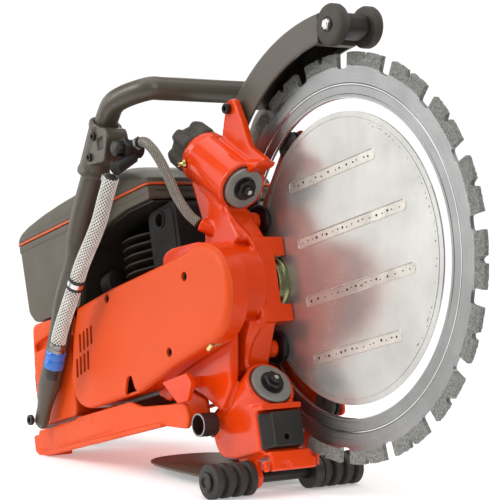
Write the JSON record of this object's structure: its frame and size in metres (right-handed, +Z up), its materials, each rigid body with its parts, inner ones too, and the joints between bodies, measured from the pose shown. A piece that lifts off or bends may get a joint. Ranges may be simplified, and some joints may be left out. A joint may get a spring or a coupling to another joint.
{
  "type": "ring saw",
  "caption": "Hand-held petrol cut-off saw with a hubless diamond ring blade, belt drive, bow handle, rear trigger handle, water hose and ground rollers.",
  "frame": {"origin": "middle of the base of the bounding box, on the ground", "axes": "+X forward, the way the blade points; +Y to the left of the operator, the fuel filler side; +Z up. The saw rests nose-up on its ground rollers, rear foot and rear handle."},
  "size_m": [0.7466, 0.234, 0.4442],
  "materials": {
    "orange_casting": "gloss",
    "orange_cover": "satin",
    "grey_cover": "satin",
    "grey_metal": "satin",
    "black_plastic": "satin",
    "black_metal": "matte",
    "rubber": "matte",
    "steel": "satin",
    "polished_disc": "polished",
    "segment_steel": "granular",
    "aluminium": "machined",
    "braided_hose": "glossy",
    "blue_plastic": "glossy",
    "bright_metal": "bright",
    "brass": "bright"
  },
  "bodies": {
    "saw_body": {"centre_disc": "polished_disc", "arm_casting": "orange_casting", "far_carrier": "orange_casting", "bearing_near": "steel", "bearing_far": "steel", "drive_belt": "rubber", "cylinder_cap_upper": "aluminium", "cylinder_cap_lower": "aluminium", "tension_spring_upper": "bright_metal", "tension_spring_lower": "bright_metal", "lower_pad": "rubber", "blade_guard": "grey_metal", "guard_axle": "bright_metal", "roller_axle": "steel", "splash_flap": "grey_cover", "cross_tube": "black_metal", "belt_guard": "orange_cover", "crankcase": "aluminium", "cylinder": "black_metal", "muffler": "black_metal", "filter_cover": "grey_cover", "cover_seam": "orange_cover", "cover_lower": "grey_cover", "air_filter": "black_plastic", "intake_bellows": "rubber", "tank_housing": "orange_cover", "base_plate": "orange_casting", "starter_cover": "orange_cover", "rear_handle": "black_plastic", "front_handle": "grey_metal", "handle_clamp": "grey_metal", "valve_body": "black_metal", "supply_hose": "braided_hose", "hose_connector": "blue_plastic", "branch_hose": "braided_hose"},
    "blade": {"ring_blade": "segment_steel"},
    "drive": {"drive_wheel": "steel", "drive_shaft": "steel", "driven_pulley": "aluminium"},
    "clutch": {"clutch_pulley": "steel"},
    "crank": {"crankshaft": "steel", "flywheel": "aluminium"},
    "guide_upper": {"guide_roller_upper": "black_plastic"},
    "guide_lower": {"guide_roller_lower": "black_plastic"},
    "support_upper": {"support_roller_upper": "black_plastic"},
    "support_lower": {"support_roller_lower": "black_plastic"},
    "guard_wheel_a": {"guard_wheel_near": "black_plastic"},
    "guard_wheel_b": {"guard_wheel_far": "black_plastic"},
    "foot_roller_a": {"foot_roller_near": "rubber"},
    "foot_roller_b": {"foot_roller_far": "rubber"},
    "trigger": {"throttle_trigger": "black_plastic"},
    "lockout": {"throttle_lockout": "black_plastic"},
    "starter_drum": {"starter_reel": "black_plastic"},
    "starter_pull": {"starter_rope": "black_plastic", "starter_grip": "black_plastic"},
    "spring_knob": {"tension_knob": "black_plastic"},
    "water_knob": {"valve_knob": "black_plastic"},
    "filler_cap": {"fuel_cap": "black_plastic"},
    "decompression": {"decompression_button": "black_plastic"},
    "stop": {"stop_switch": "black_plastic"}
  },
  "joints": [
    {"name": "blade_spin", "type": "hinge", "parent": "saw_body", "child": "blade", "pos_m": [0.18842, 0.00998, 0.21803], "axis": [0, 1, 0], "continuous": true},
    {"name": "drive_spin", "type": "hinge", "parent": "saw_body", "child": "drive", "pos_m": [0.07443, 0.00998, 0.19035], "axis": [0, 1, 0], "continuous": true},
    {"name": "clutch_spin", "type": "hinge", "parent": "saw_body", "child": "clutch", "pos_m": [-0.07221, -0.06802, 0.12592], "axis": [0, 1, 0], "continuous": true},
    {"name": "crank_spin", "type": "hinge", "parent": "saw_body", "child": "crank", "pos_m": [-0.07221, 0.00998, 0.12592], "axis": [0, 1, 0], "continuous": true},
    {"name": "guide_upper_spin", "type": "hinge", "parent": "saw_body", "child": "guide_upper", "pos_m": [0.06151, 0.00998, 0.2505], "axis": [0, 1, 0], "continuous": true},
    {"name": "guide_lower_spin", "type": "hinge", "parent": "saw_body", "child": "guide_lower", "pos_m": [0.09053, 0.00998, 0.13097], "axis": [0, 1, 0], "continuous": true},
    {"name": "support_upper_spin", "type": "hinge", "parent": "saw_body", "child": "support_upper", "pos_m": [0.09671, 0.01698, 0.32115], "axis": [0, 1, 0], "continuous": true},
    {"name": "support_lower_spin", "type": "hinge", "parent": "saw_body", "child": "support_lower", "pos_m": [0.15422, 0.01698, 0.08434], "axis": [0, 1, 0], "continuous": true},
    {"name": "guard_wheel_near_spin", "type": "hinge", "parent": "saw_body", "child": "guard_wheel_a", "pos_m": [0.19467, -0.00902, 0.42536], "axis": [0, 1, 0], "continuous": true},
    {"name": "guard_wheel_far_spin", "type": "hinge", "parent": "saw_body", "child": "guard_wheel_b", "pos_m": [0.19467, 0.02898, 0.42536], "axis": [0, 1, 0], "continuous": true},
    {"name": "foot_roller_near_spin", "type": "hinge", "parent": "saw_body", "child": "foot_roller_a", "pos_m": [0.11708, -0.06802, 0.01599], "axis": [0, 1, 0], "continuous": true},
    {"name": "foot_roller_far_spin", "type": "hinge", "parent": "saw_body", "child": "foot_roller_b", "pos_m": [0.11708, 0.05398, 0.01599], "axis": [0, 1, 0], "continuous": true},
    {"name": "trigger_pull", "type": "hinge", "parent": "saw_body", "child": "trigger", "pos_m": [-0.30182, 0.00998, 0.10104], "axis": [0, 1, 0], "range_deg": [0, 17], "stiffness_Nm_per_rad": 0.3, "springref_deg": -17.19},
    {"name": "lockout_press", "type": "hinge", "parent": "saw_body", "child": "lockout", "pos_m": [-0.31074, 0.00998, 0.10813], "axis": [0, -1, 0], "range_deg": [0, 8], "stiffness_Nm_per_rad": 0.3, "springref_deg": -17.19},
    {"name": "starter_pull_slide", "type": "slide", "parent": "saw_body", "child": "starter_pull", "axis": [0.6358, 0, 0.7718], "range_m": [0, 0.04], "stiffness_N_per_m": 150, "springref_m": -0.04},
    {"name": "starter_drum_turn", "type": "hinge", "parent": "saw_body", "child": "starter_drum", "pos_m": [-0.07221, 0.07498, 0.12592], "axis": [0, 1, 0], "range_deg": [0, 77]},
    {"name": "spring_knob_turn", "type": "hinge", "parent": "saw_body", "child": "spring_knob", "pos_m": [0.01298, -0.02502, 0.31332], "axis": [-0.9053, 0, 0.4247], "range_deg": [-360, 360]},
    {"name": "water_knob_turn", "type": "hinge", "parent": "saw_body", "child": "water_knob", "pos_m": [-0.03209, -0.09002, 0.3209], "axis": [0, -1, 0], "range_deg": [0, 270]},
    {"name": "filler_cap_turn", "type": "hinge", "parent": "saw_body", "child": "filler_cap", "pos_m": [-0.22755, 0.09998, 0.10878], "axis": [0, 1, 0], "range_deg": [0, 120]},
    {"name": "decompression_press", "type": "slide", "parent": "saw_body", "child": "decompression", "axis": [0.236, 0, -0.9718], "range_m": [0, 0.003], "stiffness_N_per_m": 800, "springref_m": -0.002},
    {"name": "stop_slide", "type": "slide", "parent": "saw_body", "child": "stop", "axis": [-1, 0, 0.001], "range_m": [0, 0.004]}
  ],
  "couplings": [
    {"joint": "drive_spin", "follows": "blade_spin", "ratio": 5.5115},
    {"joint": "clutch_spin", "follows": "blade_spin", "ratio": 6.8169},
    {"joint": "guide_upper_spin", "follows": "blade_spin", "ratio": 11.94},
    {"joint": "guide_lower_spin", "follows": "blade_spin", "ratio": 11.94},
    {"joint": "support_upper_spin", "follows": "blade_spin", "ratio": 10.857},
    {"joint": "support_lower_spin", "follows": "blade_spin", "ratio": 10.857},
    {"joint": "starter_drum_turn", "follows": "starter_pull_slide", "rad_per_m": 33.333}
  ]
}
